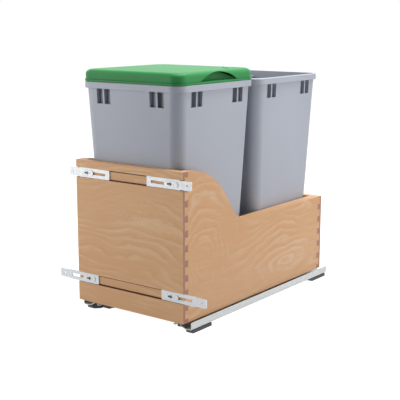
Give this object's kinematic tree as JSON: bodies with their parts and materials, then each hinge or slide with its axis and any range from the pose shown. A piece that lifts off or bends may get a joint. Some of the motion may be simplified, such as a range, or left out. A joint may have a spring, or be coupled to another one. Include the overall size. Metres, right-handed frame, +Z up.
{
  "type": "pull out trash cabinet",
  "caption": "Dovetailed wooden tray on full-extension undermount slides, holding lift-out grey waste bins with a lid, and sliding brackets in its front that carry the cabinet door.",
  "frame": {"origin": "on the floor, under the middle of the whole part's box", "axes": "+Z up, +Y to the rear along the slides, +X to the right seen from the front; the tray pulls out along -Y"},
  "size_m": [0.3922, 0.556, 0.5145],
  "materials": {
    "wood_board": "clear satin lacquer",
    "wood_bottom": "clear satin lacquer",
    "grey_bin": "moulded satin",
    "green_lid": "moulded satin",
    "zinc_rail": "zinc plated",
    "white_bracket": "white plated",
    "dark_plastic": "moulded matte",
    "nylon": "moulded",
    "screw_steel": "zinc plated"
  },
  "bodies": {
    "base": {"left_cabinet_rail": "zinc_rail", "right_cabinet_rail": "zinc_rail", "left_front_foot": "dark_plastic", "right_front_foot": "dark_plastic", "left_rear_foot": "dark_plastic", "right_rear_foot": "dark_plastic", "left_front_foot_rivet": "screw_steel", "right_front_foot_rivet": "screw_steel", "left_rear_foot_rivet": "screw_steel", "right_rear_foot_rivet": "screw_steel", "left_damper_cylinder": "dark_plastic", "right_damper_cylinder": "dark_plastic"},
    "tray": {"front_panel": "wood_board", "back_panel": "wood_board", "left_side": "wood_board", "right_side": "wood_board", "bottom_panel": "wood_bottom", "left_bin_guide": "wood_board", "right_bin_guide": "wood_board", "left_drawer_rail": "zinc_rail", "right_drawer_rail": "zinc_rail", "left_latch": "dark_plastic", "right_latch": "dark_plastic", "left_latch_screw_1": "screw_steel", "left_latch_screw_2": "screw_steel", "right_latch_screw_1": "screw_steel", "right_latch_screw_2": "screw_steel", "left_rear_hook": "zinc_rail", "right_rear_hook": "zinc_rail", "upper_left_clamp": "white_bracket", "upper_right_clamp": "white_bracket", "lower_left_clamp": "white_bracket", "lower_right_clamp": "white_bracket", "upper_left_screw": "screw_steel", "upper_right_screw": "screw_steel", "lower_left_screw": "screw_steel", "lower_right_screw": "screw_steel"},
    "middle_rails": {"left_middle_rail": "zinc_rail", "right_middle_rail": "zinc_rail"},
    "lower_cages": {"left_lower_roller_cage": "nylon", "right_lower_roller_cage": "nylon"},
    "upper_cages": {"left_upper_roller_cage": "nylon", "right_upper_roller_cage": "nylon"},
    "front_bin": {"front_bin": "grey_bin"},
    "rear_bin": {"rear_bin": "grey_bin"},
    "lid": {"front_bin_lid": "green_lid"},
    "upper_left_bracket": {"upper_left_bracket": "white_bracket"},
    "upper_right_bracket": {"upper_right_bracket": "white_bracket"},
    "lower_left_bracket": {"lower_left_bracket": "white_bracket"},
    "lower_right_bracket": {"lower_right_bracket": "white_bracket"},
    "left_latch_lever": {"left_latch_lever": "dark_plastic"},
    "right_latch_lever": {"right_latch_lever": "dark_plastic"},
    "left_damper_plunger": {"left_damper_plunger": "nylon"},
    "right_damper_plunger": {"right_damper_plunger": "nylon"}
  },
  "joints": [
    {"name": "tray_slide", "type": "slide", "parent": "base", "child": "tray", "axis": [0, -1, 0], "range_m": [0, 0.53]},
    {"name": "middle_rail_slide", "type": "slide", "parent": "base", "child": "middle_rails", "axis": [0, -1, 0], "range_m": [0, 0.265]},
    {"name": "lower_cage_slide", "type": "slide", "parent": "base", "child": "lower_cages", "axis": [0, -1, 0], "range_m": [0, 0.1325]},
    {"name": "upper_cage_slide", "type": "slide", "parent": "base", "child": "upper_cages", "axis": [0, -1, 0], "range_m": [0, 0.3975]},
    {"name": "front_bin_lift", "type": "slide", "parent": "tray", "child": "front_bin", "axis": [0, 0, 1], "range_m": [0, 0.3]},
    {"name": "rear_bin_lift", "type": "slide", "parent": "tray", "child": "rear_bin", "axis": [0, 0, 1], "range_m": [0, 0.3]},
    {"name": "lid_lift", "type": "slide", "parent": "front_bin", "child": "lid", "axis": [0, 0, 1], "range_m": [0, 0.06]},
    {"name": "upper_left_bracket_slide", "type": "slide", "parent": "tray", "child": "upper_left_bracket", "axis": [-1, 0, 0], "range_m": [0, 0.036]},
    {"name": "upper_right_bracket_slide", "type": "slide", "parent": "tray", "child": "upper_right_bracket", "axis": [1, 0, 0], "range_m": [0, 0.036]},
    {"name": "lower_left_bracket_slide", "type": "slide", "parent": "tray", "child": "lower_left_bracket", "axis": [-1, 0, 0], "range_m": [-0.036, 0]},
    {"name": "lower_right_bracket_slide", "type": "slide", "parent": "tray", "child": "lower_right_bracket", "axis": [1, 0, 0], "range_m": [-0.036, 0]},
    {"name": "left_lever_turn", "type": "hinge", "parent": "tray", "child": "left_latch_lever", "pos_m": [-0.09624, -0.22069, 0.0257], "axis": [0, 0, 1], "range_deg": [0, 8], "stiffness_Nm_per_rad": 0.1},
    {"name": "right_lever_turn", "type": "hinge", "parent": "tray", "child": "right_latch_lever", "pos_m": [0.09624, -0.22069, 0.0257], "axis": [0, 0, -1], "range_deg": [0, 8], "stiffness_Nm_per_rad": 0.1},
    {"name": "left_damper_stroke", "type": "slide", "parent": "base", "child": "left_damper_plunger", "axis": [0, -1, 0], "range_m": [0, 0.045], "stiffness_N_per_m": 60},
    {"name": "right_damper_stroke", "type": "slide", "parent": "base", "child": "right_damper_plunger", "axis": [0, -1, 0], "range_m": [0, 0.045], "stiffness_N_per_m": 60}
  ],
  "couplings": [
    {"joint": "middle_rail_slide", "follows": "tray_slide", "ratio": 0.5},
    {"joint": "lower_cage_slide", "follows": "tray_slide", "ratio": 0.25},
    {"joint": "upper_cage_slide", "follows": "tray_slide", "ratio": 0.75}
  ]
}
